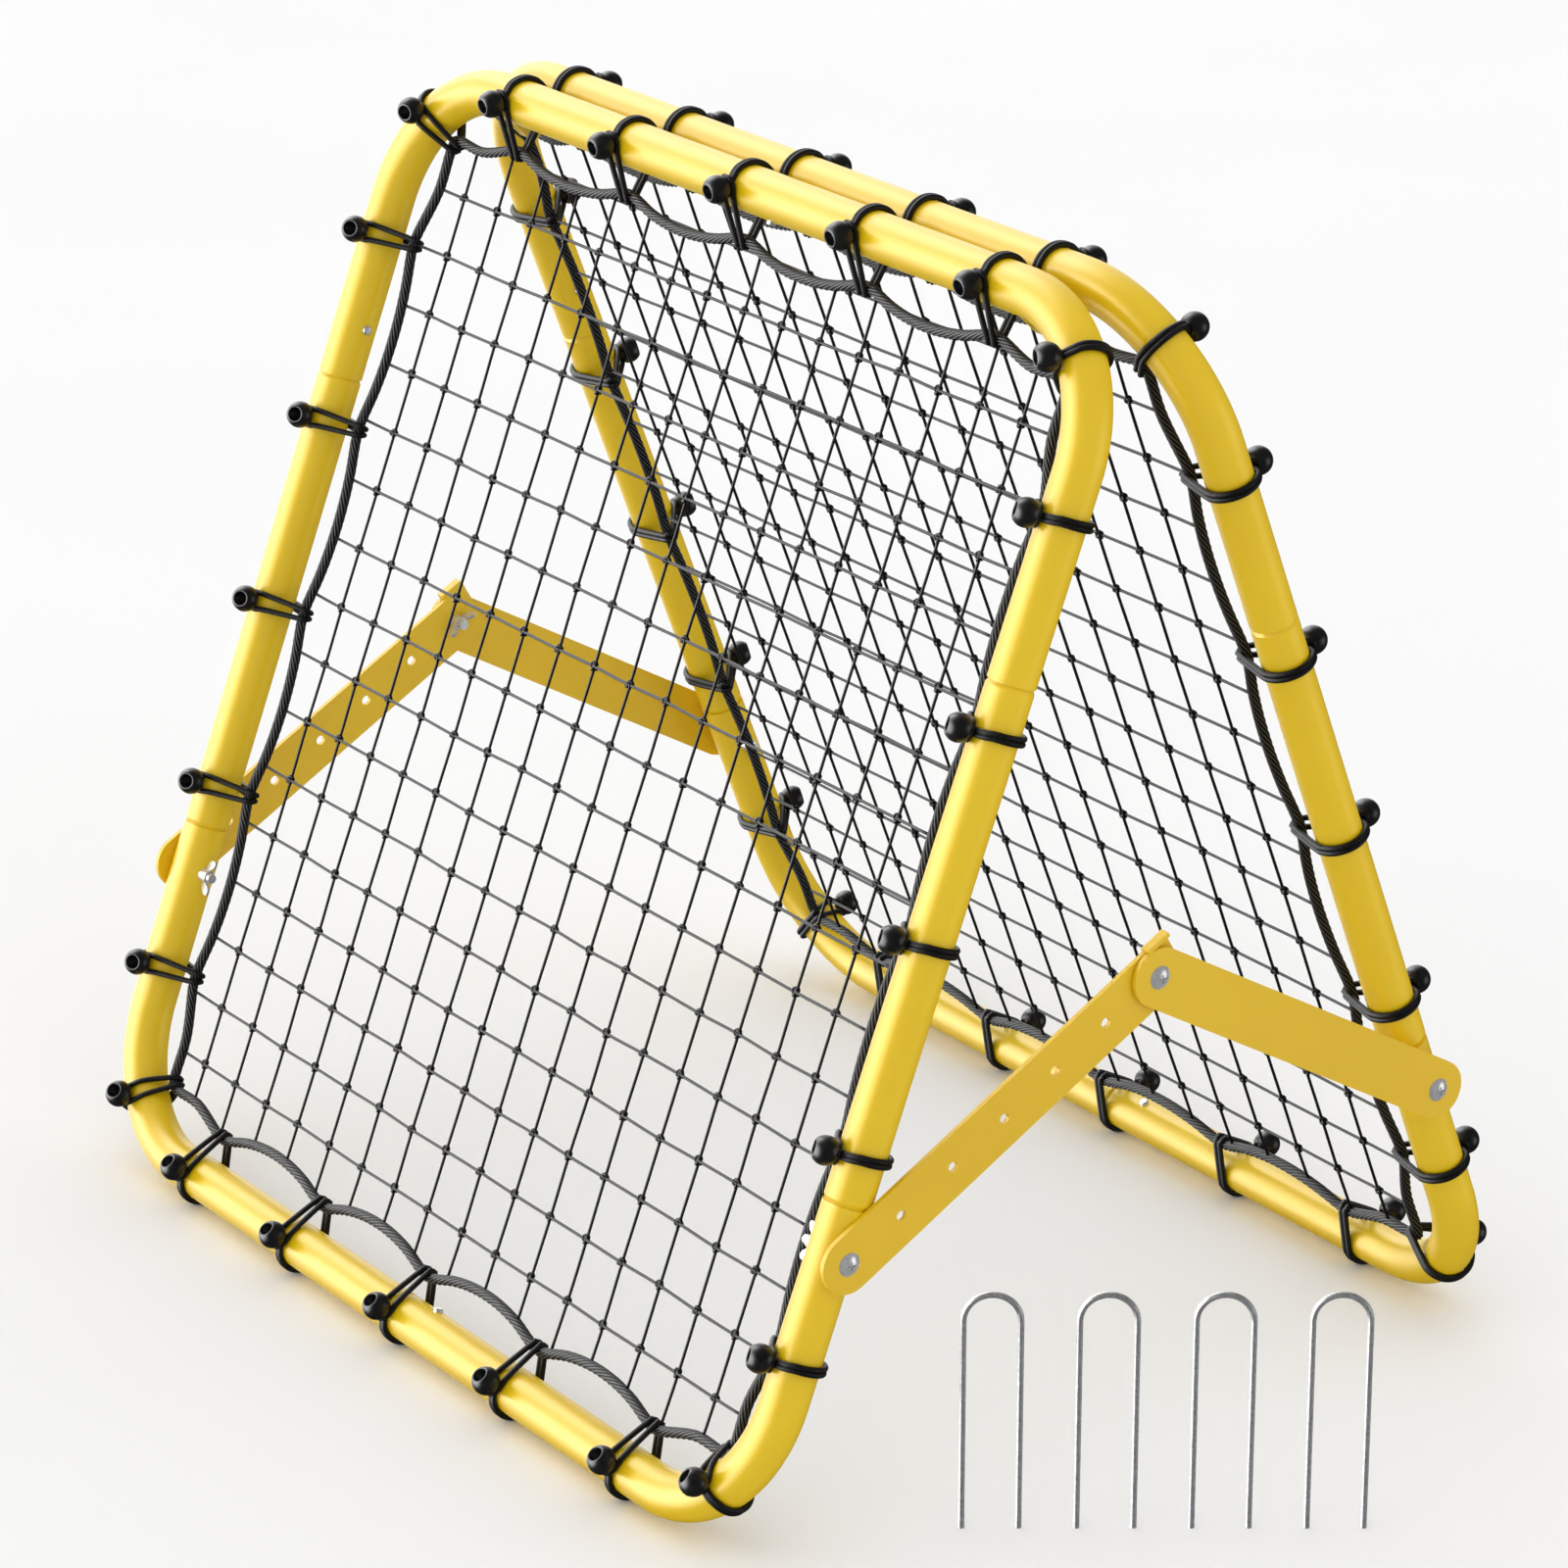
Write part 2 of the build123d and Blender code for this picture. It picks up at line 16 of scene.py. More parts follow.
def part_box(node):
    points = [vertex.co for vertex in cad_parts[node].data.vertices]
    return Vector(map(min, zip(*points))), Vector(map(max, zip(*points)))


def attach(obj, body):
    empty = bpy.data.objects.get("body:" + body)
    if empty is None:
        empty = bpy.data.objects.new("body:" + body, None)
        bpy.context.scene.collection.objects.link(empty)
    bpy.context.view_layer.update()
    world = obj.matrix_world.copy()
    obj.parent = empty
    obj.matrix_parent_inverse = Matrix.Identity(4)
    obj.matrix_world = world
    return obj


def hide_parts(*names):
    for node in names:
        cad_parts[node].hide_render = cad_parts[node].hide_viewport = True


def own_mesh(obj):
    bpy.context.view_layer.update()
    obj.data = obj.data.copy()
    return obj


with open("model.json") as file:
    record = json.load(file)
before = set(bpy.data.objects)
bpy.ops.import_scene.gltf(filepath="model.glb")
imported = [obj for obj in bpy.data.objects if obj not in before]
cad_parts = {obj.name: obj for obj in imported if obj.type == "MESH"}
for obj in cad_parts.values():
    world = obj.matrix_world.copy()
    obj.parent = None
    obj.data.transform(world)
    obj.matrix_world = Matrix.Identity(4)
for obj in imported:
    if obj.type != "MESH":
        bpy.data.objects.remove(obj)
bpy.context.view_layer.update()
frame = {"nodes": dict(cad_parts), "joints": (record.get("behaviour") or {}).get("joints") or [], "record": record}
random.seed(7)

MM = 0.001

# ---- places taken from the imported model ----

joints = {j["name"]: j for j in frame["joints"]}
leg_low, leg_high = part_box("front_right_leg_tube")
leg_middle = (leg_low + leg_high) / 2
LEAN = math.radians(joints["fold"]["range_deg"][1]) / 2
HALF = leg_middle.x / MM
CENTRE = Vector((0, leg_middle.y, leg_middle.z))
UP = Vector((0, math.sin(LEAN), math.cos(LEAN)))
OUT = Vector((0, -math.cos(LEAN), math.sin(LEAN)))

# ---- sizes shared with the CAD, mm ----

TUBE_R = 19.0
BEND_R = 114.0
CORD_R = 2.4
CORD_SEAT = 0.1
TIE_PITCH = 165.0
TIES_EACH_WAY = 2
BALL_R = 11.5
BALL_OUT = 31.5
BALL_BORE_R = 5.6
BALL_BORE_DEPTH = 13.0
BALL_TILT = math.radians(30)
BALL_RISE = {"top": 8.0, "bottom": 6.0, "left": 5.0, "right": 5.0}
CORNER_BALL_RISE = 2.5
NET_IN = 9.5
NET_DROP = 5.0
ROPE_SAG_CORNER = 4.0
ROPE_CORNER = 422.0

# ---- finer than the CAD, mm and degrees ----

# Net: its twines lift over and under each other. A crossing strays a little, and its knot is
# turned at random, with a further turn on every second one.
MESH_PITCH = 51.7
TWINES = 16
TWINE_R = 1.3
TWINE_STEP = 13.0
TWINE_LIFT = 0.55 * TWINE_R
TWINE_TO_ROPE = 1.7
KNOT_R = 2.4
KNOT_POINTS = 26
CROSSING_STRAYS = 0.35
KNOT_TURNS = 0.3
KNOT_ALTERNATES = 0.8

# Border rope: how far in from a tube's axis a tie holds it, and how far it hangs in between
# ties from there; its strands, the groove between them and the length of one turn.
ROPE_IN = {"top": 41.0, "bottom": 36.5, "left": 37.0, "right": 37.0}
ROPE_SAG = {"top": 11.5, "bottom": 13.5, "left": 10.0, "right": 6.5}
ROPE_LEVEL = 8.0
ROPE_R = 4.5
ROPE_STEP = 1.6
ROPE_SIDES = 99
ROPE_STRANDS = 9
ROPE_GROOVE = 1.5
ROPE_LAY = 62.0
ROPE_BITE = 2.0

# Ball: the flat face round its bore with a raised rim, and its foot, where the cord goes in.
# A ball on a leg hangs a little, and so does the cord near it, from DROP_FROM outward.
BALL_FACE_R = 7.6
BALL_NECK_R = 5.0
BALL_FOOT_R = 3.4
BALL_RIM = 0.45
BALL_STEPS = 30
LEG_BALL_DROP = 1.8
DROP_FROM, DROP_OVER = 14, 8

# Tie: its two strands stand apart down the tube's front and at the rope, then close up into
# a band that ends inside the ball, at these two distances behind the ball's middle.
CORD_STEP = 1.7
STRAND_APART = 4.9
STRANDS_OFF_TUBE = 6.4
STRANDS_AT_ROPE = 4.0
BAND_SIDE = 1.6
BAND_END = 118
BAND_STEPS = 8
BAND_DEPTHS = (10.9, 7.4)
# One side of the ring from its top: angle round the tube, distance to the side, lift off it.
RING = (
    (97, 0.0, 5.2),
    (96.5, 3.2, 4.8),
    (93, 5.9, 3.4),
    (87, 7.0, 1.8),
    (78, 7.2, 0.6),
    (67, 7.1, 0.1),
)


def flat_to_row(points, rear):
    """Flat points in mm to the row frame in metres; the rear frame is the front one turned."""
    p = np.asarray(points, float) * MM
    row = np.array(CENTRE) + p @ np.array([(1, 0, 0), tuple(UP), tuple(OUT)])
    return row * (-1, -1, 1) if rear else row


# ---- mesh building ----


def smooth_path(points, step, closed=False):
    """A Catmull-Rom curve through the points, resampled to about one point per step."""
    p = np.asarray(points, float)
    n = len(p)
    spans = n if closed else n - 1
    out = []
    for i in range(spans):
        if closed:
            a, b, c, d = (p[(i + k) % n] for k in (-1, 0, 1, 2))
        else:
            b, c = p[i], p[i + 1]
            a = p[i - 1] if i else 2 * b - c
            d = p[i + 2] if i + 2 < n else 2 * c - b
        count = max(2, int(round(np.linalg.norm(c - b) / step)))
        t = np.linspace(0, 1, count, endpoint=False)[:, None]
        out.append(
            0.5
            * (2 * b + (c - a) * t + (2 * a - 5 * b + 4 * c - d) * t**2 + (3 * b - a - 3 * c + d) * t**3)
        )
    if not closed:
        out.append(p[-1:])
    return np.concatenate(out)


def turns_at(run, lay, closed):
    """How many turns a twisted cord has made by each point; a closed one makes a whole number."""
    turns = run / lay
    return turns * round(turns[-1]) / turns[-1] if closed else turns


class Mesher:
    """Collects tubes and turned shapes, in mm, into one mesh."""

    def __init__(self):
        self.verts, self.faces, self.uvs, self.count = [], [], [], 0

    def grid(self, rings, ring_v, around, closed=False):
        """Joins rings of points (rings x sides x 3) with quads. U runs round, to around, and
        V along, through ring_v: both in mm, or for a twisted cord in strands."""
        n, sides = rings.shape[:2]
        base = self.count
        self.verts.append(rings.reshape(-1, 3))
        self.count += n * sides
        last = n if closed else n - 1
        i = np.arange(last)[:, None]
        j = np.arange(sides)[None, :]
        i2, j2 = (i + 1) % n, (j + 1) % sides
        quads = np.stack(
            [base + i * sides + j, base + i * sides + j2, base + i2 * sides + j2, base + i2 * sides + j], -1
        ).reshape(-1, 4)
        self.faces += quads.tolist()
        u0 = np.broadcast_to(j / sides * around, (last, sides))
        u1 = np.broadcast_to((j + 1) / sides * around, (last, sides))
        v0 = np.broadcast_to(np.asarray(ring_v)[:last, None], (last, sides))
        v1 = np.broadcast_to(np.asarray(ring_v)[1 : last + 1, None], (last, sides))
        uv = np.stack([u0, v0, u1, v0, u1, v1, u0, v1], -1).reshape(-1, 2)
        self.uvs.append(uv)
        if not closed:
            for ring, order in ((0, -1), (n - 1, 1)):
                self.faces.append([base + ring * sides + k for k in range(sides)][::order])
                self.uvs.append(np.zeros((sides, 2)))

    def tube(self, points, radius, sides, closed=False, ridges=0, lay=1.0, depth=0.0):
        """A round cord along the points; ridges turn round it once in each lay length."""
        p = np.asarray(points, float)
        nxt, prv = np.roll(p, -1, 0), np.roll(p, 1, 0)
        if not closed:
            nxt[-1], prv[0] = p[-1], p[0]
        tangent = nxt - prv
        tangent /= np.linalg.norm(tangent, axis=1)[:, None]
        side = np.cross(tangent[0], (0, 0, 1) if abs(tangent[0][2]) < 0.9 else (1, 0, 0))
        normals = []
        for t in tangent:
            side = side - t * (side @ t)
            side = side / np.linalg.norm(side)
            normals.append(side)
        normals = np.array(normals)
        steps = np.linalg.norm(nxt - p, axis=1)
        run = np.concatenate([[0], np.cumsum(steps)])
        turn = np.zeros(len(p))
        if closed:
            end = normals[-1] - tangent[0] * (normals[-1] @ tangent[0])
            off = math.atan2(np.cross(end, normals[0]) @ tangent[0], end @ normals[0])
            turn = off * run[:-1] / run[-1]
        binormals = np.cross(tangent, normals)
        angle = np.arange(sides) / sides * 2 * math.pi
        a = angle[None, :] + turn[:, None]
        r = np.full((len(p), sides), float(radius))
        ring_v, around = run, 2 * math.pi * radius
        if ridges:
            turns = turns_at(run, lay, closed)
            phase = ridges * (angle[None, :] / 2 + math.pi * turns[: len(p), None])
            r += depth * (np.abs(np.cos(phase)) - 1)
            ring_v, around = ridges * turns, ridges
        rings = (
            p[:, None]
            + normals[:, None] * (np.cos(a) * r)[..., None]
            + binormals[:, None] * (np.sin(a) * r)[..., None]
        )
        self.grid(rings, ring_v, around, closed)

    def turned(self, profile, place, sides=40):
        """A profile of (radius, height) turned round place's Z axis; place is a 4x4."""
        profile = np.asarray(profile, float)
        angle = np.arange(sides) / sides * 2 * math.pi
        rings = np.stack(
            [
                profile[:, 0, None] * np.cos(angle),
                profile[:, 0, None] * np.sin(angle),
                np.broadcast_to(profile[:, 1, None], (len(profile), sides)),
            ],
            -1,
        )
        m = np.array(place)
        rings = rings @ m[:3, :3].T + m[:3, 3]
        run = np.concatenate([[0], np.cumsum(np.linalg.norm(np.diff(profile, axis=0), axis=1))])
        self.grid(rings, run, 2 * math.pi * profile[:, 0].max())

    def build(self, name, rear, material, body, slot, nodes):
        """The finished piece, stood up, riding on its body and standing for its CAD nodes."""
        verts = flat_to_row(np.concatenate(self.verts), rear)
        mesh = bpy.data.meshes.new(name)
        mesh.from_pydata(verts.tolist(), [], self.faces)
        layer = mesh.uv_layers.new(name="UVMap")
        layer.data.foreach_set("uv", np.concatenate(self.uvs).astype(np.float32).ravel())
        mesh.shade_smooth()
        mesh.materials.append(material)
        piece = bpy.data.objects.new(name, mesh)
        bpy.context.scene.collection.objects.link(piece)
        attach(piece, body)
        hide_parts(*nodes)
        return piece


# ---- materials ----


class Nodes:
    """A short way to build a node material round one Principled shader."""

    def __init__(self, name, **sockets):
        self.material = bpy.data.materials.new(name)
        self.material.use_nodes = True
        self.tree = self.material.node_tree
        self.shader = self.tree.nodes["Principled BSDF"]
        for socket, value in sockets.items():
            self.shader.inputs[socket.replace("_", " ")].default_value = value

    def add(self, kind, **settings):
        node = self.tree.nodes.new(kind)
        for key, value in settings.items():
            if key in node.inputs:
                node.inputs[key].default_value = value
            else:
                setattr(node, key, value)
        return node

    def link(self, source, target):
        self.tree.links.new(source, target)

    def coordinates(self, kind="Object"):
        return self.add("ShaderNodeTexCoord").outputs[kind]

    def noise(self, coordinates, scale, detail=2.0, roughness=0.5):
        node = self.add("ShaderNodeTexNoise", Scale=scale, Detail=detail, Roughness=roughness)
        self.link(coordinates, node.inputs["Vector"])
        return node.outputs["Fac"]

    def ramp(self, factor, stops):
        """Maps a factor through colour stops: [(position, (r, g, b))]."""
        node = self.add("ShaderNodeValToRGB")
        elements = node.color_ramp.elements
        while len(elements) < len(stops):
            elements.new(0.5)
        for element, (position, colour) in zip(elements, stops):
            element.position = position
            element.color = (*colour, 1)
        self.link(factor, node.inputs["Fac"])
        return node.outputs["Color"]

    def span(self, factor, low, high):
        """Maps a 0-1 factor to low-high."""
        node = self.add("ShaderNodeMapRange")
        node.inputs["To Min"].default_value = low
        node.inputs["To Max"].default_value = high
        self.link(factor, node.inputs["Value"])
        return node.outputs["Result"]

    def bump(self, height, strength, distance):
        node = self.add("ShaderNodeBump", Strength=strength, Distance=distance)
        self.link(height, node.inputs["Height"])
        self.link(node.outputs["Normal"], self.shader.inputs["Normal"])

    def wave(self, coordinates, turn, scale):
        """Parallel bands across UV, turned by an angle."""
        mapping = self.add("ShaderNodeMapping")
        mapping.inputs["Rotation"].default_value = (0, 0, math.radians(turn))
        self.link(coordinates, mapping.inputs["Vector"])
        wave = self.add("ShaderNodeTexWave", Scale=scale, Distortion=0.4)
        self.link(mapping.outputs["Vector"], wave.inputs["Vector"])
        return wave.outputs["Fac"]

    def maths(self, operation, *terms):
        """One Math node on the terms: sockets or numbers."""
        node = self.add("ShaderNodeMath", operation=operation)
        for place, term in zip(node.inputs, terms):
            if isinstance(term, float):
                place.default_value = term
            else:
                self.link(term, place)
        return node.outputs[0]


def powder_coat(name, light, dark, roughness):
    """Smooth baked paint: faint cloudiness, orange-peel bump, specks in its gloss."""
    m = Nodes(name, Specular_IOR_Level=0.6)
    where = m.coordinates()
    cloud = m.noise(where, 9.0, 3.0)
    m.link(m.ramp(cloud, [(0.35, dark), (0.65, light)]), m.shader.inputs["Base Color"])
    peel = m.noise(where, 420.0, 2.0)
    speck = m.noise(where, 1600.0, 1.0)
    m.link(m.span(speck, roughness - 0.05, roughness + 0.07), m.shader.inputs["Roughness"])
    m.bump(peel, 0.12, 0.0004)
    return m.material


def plated(name, colour, roughness):
    """Bright plating with a soft haze and fine wear."""
    m = Nodes(name, Metallic=0.6)
    where = m.coordinates()
    haze = m.noise(where, 260.0, 4.0, 0.6)
    dull = tuple(c * 0.8 for c in colour)
    m.link(m.ramp(haze, [(0.3, dull), (0.6, colour)]), m.shader.inputs["Base Color"])
    m.link(m.span(haze, roughness + 0.08, roughness - 0.04), m.shader.inputs["Roughness"])
    m.bump(m.noise(where, 1900.0, 2.0), 0.06, 0.0002)
    return m.material


def galvanised(name):
    """Wire with a zinc coat: a spangle, duller where it is pale, and a fine grain."""
    m = Nodes(name, Metallic=0.7)
    where = m.coordinates()
    spangle = m.noise(where, 320.0, 3.0, 0.7)
    m.link(
        m.ramp(spangle, [(0.3, (0.34, 0.35, 0.36)), (0.7, (0.62, 0.63, 0.64))]),
        m.shader.inputs["Base Color"],
    )
    m.link(m.span(spangle, 0.25, 0.45), m.shader.inputs["Roughness"])
    m.bump(m.noise(where, 1200.0, 2.0), 0.1, 0.0002)
    return m.material


def moulded_black(name):
    """Black moulded plastic, faintly mottled, with a fine grain."""
    m = Nodes(name, Specular_IOR_Level=0.4)
    where = m.coordinates()
    mottle = m.noise(where, 180.0, 3.0)
    m.link(
        m.ramp(mottle, [(0.3, (0.005, 0.005, 0.006)), (0.7, (0.010, 0.010, 0.011))]),
        m.shader.inputs["Base Color"],
    )
    m.link(m.span(mottle, 0.24, 0.34), m.shader.inputs["Roughness"])
    m.bump(m.noise(where, 1500.0, 2.0), 0.08, 0.0002)
    return m.material


def woven_cord(name):
    """The braided cover of elastic cord: two sets of fine plaits crossing."""
    m = Nodes(name, Specular_IOR_Level=0.3)
    uv = m.coordinates("UV")
    left, right = m.wave(uv, 38, 0.42), m.wave(uv, -38, 0.42)
    braid = m.maths("MULTIPLY", left, right)
    m.link(
        m.ramp(braid, [(0.0, (0.003, 0.003, 0.0035)), (0.8, (0.009, 0.009, 0.010))]),
        m.shader.inputs["Base Color"],
    )
    m.link(m.span(braid, 0.5, 0.36), m.shader.inputs["Roughness"])
    m.bump(braid, 0.3, 0.0003)
    return m.material


def twisted_rope(name):
    """Laid strands: a painted highlight along each crest, painted shade near black in the grooves between them,
    and fine fibres along them.
    """
    m = Nodes(name, Specular_IOR_Level=0.3)
    split = m.add("ShaderNodeSeparateXYZ")
    m.link(m.coordinates("UV"), split.inputs[0])
    strand = m.maths("ADD", split.outputs["X"], split.outputs["Y"])
    crest = m.maths("ABSOLUTE", m.maths("COSINE", m.maths("MULTIPLY", strand, math.pi)))
    fibre = m.noise(m.coordinates(), 900.0, 3.0)
    # Painted light: each strand's crest is coloured lighter as a highlight and its grooves near black as shade;
    # the fibres vary it a little.
    painted_crest_light = m.maths("MULTIPLY", crest, m.span(fibre, 0.9, 1.04))
    m.link(
        m.ramp(painted_crest_light, [(0.78, (0.001, 0.001, 0.001)), (0.98, (0.07, 0.07, 0.071))]),
        m.shader.inputs["Base Color"],
    )
    m.link(m.span(crest, 0.85, 0.38), m.shader.inputs["Roughness"])
    m.bump(fibre, 0.25, 0.0003)
    return m.material


def net_yarn(name):
    """Thin twine of a few fine yarns twisted together."""
    m = Nodes(name, Specular_IOR_Level=0.2)
    twist = m.wave(m.coordinates("UV"), 62, 0.32)
    patch = m.noise(m.coordinates(), 140.0, 3.0)
    both = m.maths("MULTIPLY", twist, patch)
    m.link(
        m.ramp(both, [(0.05, (0.003, 0.003, 0.003)), (0.6, (0.007, 0.007, 0.008))]),
        m.shader.inputs["Base Color"],
    )
    m.link(m.span(patch, 0.24, 0.36), m.shader.inputs["Roughness"])
    m.bump(twist, 0.12, 0.0003)
    return m.material


LOOKS = {
    "yellow_tube": powder_coat("yellow_tube", (0.79, 0.535, 0.004), (0.77, 0.51, 0.002), 0.36),
    "yellow_lug": powder_coat("yellow_lug", (0.76, 0.53, 0.010), (0.72, 0.49, 0.007), 0.38),
    "yellow_pin": powder_coat("yellow_pin", (0.74, 0.51, 0.010), (0.70, 0.47, 0.007), 0.38),
    "yellow_flat_bar": powder_coat("yellow_flat_bar", (0.76, 0.49, 0.006), (0.73, 0.46, 0.004), 0.45),
    "spring_steel": plated("spring_steel", (0.42, 0.42, 0.44), 0.32),
    "button_steel": plated("button_steel", (0.66, 0.66, 0.67), 0.2),
    "bright_bolt": plated("bright_bolt", (0.78, 0.78, 0.80), 0.16),
    "washer_steel": plated("washer_steel", (0.60, 0.60, 0.62), 0.28),
    "stake_wire": galvanised("stake_wire"),
    "elastic_cord": woven_cord("elastic_cord"),
    "black_ball": moulded_black("black_ball"),
    "border_rope": twisted_rope("border_rope"),
    "net_twine": net_yarn("net_twine"),
}

# The CAD nodes are painted too; those that a finer piece replaces are hidden further down.
slot_of = {s["node"]: s["material_slot"] for s in frame["record"]["subparts"]}
for node, piece in frame["nodes"].items():
    piece.data.materials.clear()
    piece.data.materials.append(LOOKS[slot_of[node]])


# ---- border rope ----


def rope_side(side):
    """One side's points, (along, away): level past each tie, and curved in between ties."""
    away, sag = HALF - ROPE_IN[side], ROPE_SAG[side]
    points = []
    for k in range(-TIES_EACH_WAY, TIES_EACH_WAY + 1):
        x = k * TIE_PITCH
        points += [(x - ROPE_LEVEL, away), (x + ROPE_LEVEL, away)]
        if k < TIES_EACH_WAY:
            start, span = x + ROPE_LEVEL, TIE_PITCH - 2 * ROPE_LEVEL
            for t in (0.2, 0.4, 0.6, 0.8):
                points.append((start + span * t, away - sag * 4 * t * (1 - t)))
    end, away = points[-1]
    middle, level = (end + ROPE_CORNER) / 2, (away + ROPE_CORNER) / 2 - ROPE_SAG_CORNER
    return [(-middle, level)] + points + [(middle, level)]


def rope_route():
    """The whole border, clockwise from the top left, as flat points."""
    near, far = ROPE_CORNER - ROPE_LEVEL / 2, ROPE_CORNER + ROPE_LEVEL / 2
    points = rope_side("top") + [(near, far), (far, near)]
    points += [(away, -y) for y, away in rope_side("right")] + [(far, -near), (near, -far)]
    points += [(-x, -away) for x, away in rope_side("bottom")] + [(-near, -far), (-far, -near)]
    points += [(-away, y) for y, away in rope_side("left")] + [(-far, near), (-near, far)]
    return smooth_path([(x, y, -NET_IN) for x, y in points], ROPE_STEP, closed=True)


ROPE = rope_route()


def border_rope(where, rear):
    """The twisted rope that the net hangs in."""
    made = Mesher()
    made.tube(
        ROPE,
        ROPE_R,
        ROPE_SIDES,
        closed=True,
        ridges=ROPE_STRANDS,
        lay=ROPE_LAY,
        depth=ROPE_GROOVE,
    )
    made.build(
        f"{where}_border_rope_twisted",
        rear,
        LOOKS["border_rope"],
        f"{where}_frame",
        "border_rope",
        [f"{where}_border_rope"],
    )


# ---- net ----


def rope_crossings(axis, at):
    """Where the border rope crosses a twine: lowest and highest of the other axis."""
    near = np.abs(ROPE[:, axis] - at) < TWINE_TO_ROPE
    other = ROPE[near, 1 - axis]
    return other.min(), other.max()


def knot_points(size):
    """One net knot, drawn round its crossing: a closed loop in a trefoil."""
    t = np.arange(KNOT_POINTS) / KNOT_POINTS * 2 * math.pi
    ring = size + 0.48 * size * np.cos(3 * t)
    return np.stack([ring * np.cos(2 * t), ring * np.sin(2 * t), 0.62 * size * np.sin(3 * t)], -1)


def net(where, rear):
    """The twines both ways, each strung to the border rope, and a knot at each crossing."""
    places = [(k - (TWINES - 1) / 2) * MESH_PITCH for k in range(TWINES)]
    wander = {}
    for i in range(TWINES):
        for j in range(TWINES):
            wander[i, j] = (random.gauss(0, CROSSING_STRAYS), random.gauss(0, CROSSING_STRAYS))
    twines, knots = Mesher(), Mesher()
    for axis in (0, 1):
        lift = TWINE_LIFT if axis else -TWINE_LIFT
        for i, at in enumerate(places):
            down = (0, -NET_DROP) if axis == 0 else (-NET_DROP, 0)
            low, high = rope_crossings(axis, at + down[0])
            line = [(at + down[0], low, 0)]
            for j, cross in enumerate(places):
                off = wander[(i, j) if axis == 0 else (j, i)]
                line.append((at + down[0] + off[axis], cross + down[1] + off[1 - axis], lift))
            line.append((at + down[0], high, 0))
            points = [(p[axis], p[1 - axis], p[2] - NET_IN) for p in line]
            twines.tube(smooth_path(points, TWINE_STEP), TWINE_R, sides=10)
    for i, u in enumerate(places):
        for j, v in enumerate(places):
            off = wander[i, j]
            angle = random.uniform(-KNOT_TURNS, KNOT_TURNS) + (KNOT_ALTERNATES if (i + j) % 2 else 0)
            turn = Matrix.Rotation(angle, 3, "Z")
            middle = (u + off[0], v - NET_DROP + off[1], -NET_IN)
            lap = knot_points(KNOT_R) @ np.array(turn).T + middle
            knots.tube(lap, TWINE_R, sides=7, closed=True)
    body = f"{where}_frame"
    twines.build(f"{where}_net_twines", rear, LOOKS["net_twine"], body, "net_twine", [f"{where}_net"])
    knots.build(f"{where}_net_knots", rear, LOOKS["net_twine"], body, "net_twine", [f"{where}_net"])


# ---- elastic ties, drawn across a tube: A toward the rope, X along the tube, W outward ----


def tie_route(rope_away, rise):
    """One strand of a tie: from the top of the ring behind the ball, down the tube's front to
    the rope, round it, up the tube's back and over its outer side into the ball's foot."""
    round_tube = TUBE_R + CORD_SEAT + CORD_R
    round_rope = ROPE_R + CORD_R - ROPE_BITE
    apart = math.hypot(rope_away, NET_IN)
    aim = math.atan2(-NET_IN, rope_away)
    off = math.acos((round_tube - round_rope) / apart)
    side = STRAND_APART / 2

    def on_tube(angle, x, lift=0.0):
        reach = round_tube + lift
        return (reach * math.cos(angle), x, reach * math.sin(angle))

    def on_rope(angle, x):
        return (rope_away + round_rope * math.cos(angle), x, -NET_IN + round_rope * math.sin(angle))

    def by_ball(behind, x):
        """A point on the ball's axis, this far behind its middle."""
        along_axis = (rise - math.sin(BALL_TILT) * behind, BALL_OUT - math.cos(BALL_TILT) * behind)
        return (along_axis[0], x, along_axis[1])

    points = [on_tube(math.radians(angle), x, lift) for angle, x, lift in RING]
    front, back = aim + off, aim - off
    points.append(on_tube(front, STRANDS_OFF_TUBE))
    for t in (0, 0.25, 0.5, 0.75, 1):
        x = STRANDS_AT_ROPE + (side - STRANDS_AT_ROPE) * t
        points.append(on_rope(front + (back - front) * t, x))
    end = math.radians(BAND_END) - 2 * math.pi
    for k in range(BAND_STEPS + 1):
        x = side + (BAND_SIDE - side) * k / BAND_STEPS
        points.append(on_tube(back + (end - back) * k / BAND_STEPS, x))
    points += [by_ball(behind, BAND_SIDE) for behind in BAND_DEPTHS]
    return points


def ball_profile():
    """Radius and height of a ball from its foot to the bottom of its bore."""
    foot, face = math.asin(BALL_NECK_R / BALL_R), math.asin(BALL_FACE_R / BALL_R)
    bottom, top = -BALL_R * math.cos(foot), BALL_R * math.cos(face)
    points = [(BALL_FOOT_R, bottom + 1.0), (BALL_NECK_R - 0.3, bottom - 0.5)]
    for k in range(BALL_STEPS + 1):
        angle = foot + (math.pi - face - foot) * k / BALL_STEPS
        points.append((BALL_R * math.sin(angle), -BALL_R * math.cos(angle)))
    points += [(BALL_FACE_R - 0.5, top + BALL_RIM - 0.1), (BALL_FACE_R - 1.0, top + BALL_RIM)]
    points += [(BALL_BORE_R + 0.5, top + BALL_RIM - 0.05), (BALL_BORE_R + 0.1, top + 0.1)]
    points += [(BALL_BORE_R, top - 0.6), (BALL_BORE_R - 0.2, BALL_R - BALL_BORE_DEPTH)]
    points += [(0.3, BALL_R - BALL_BORE_DEPTH - 0.6)]
    return points


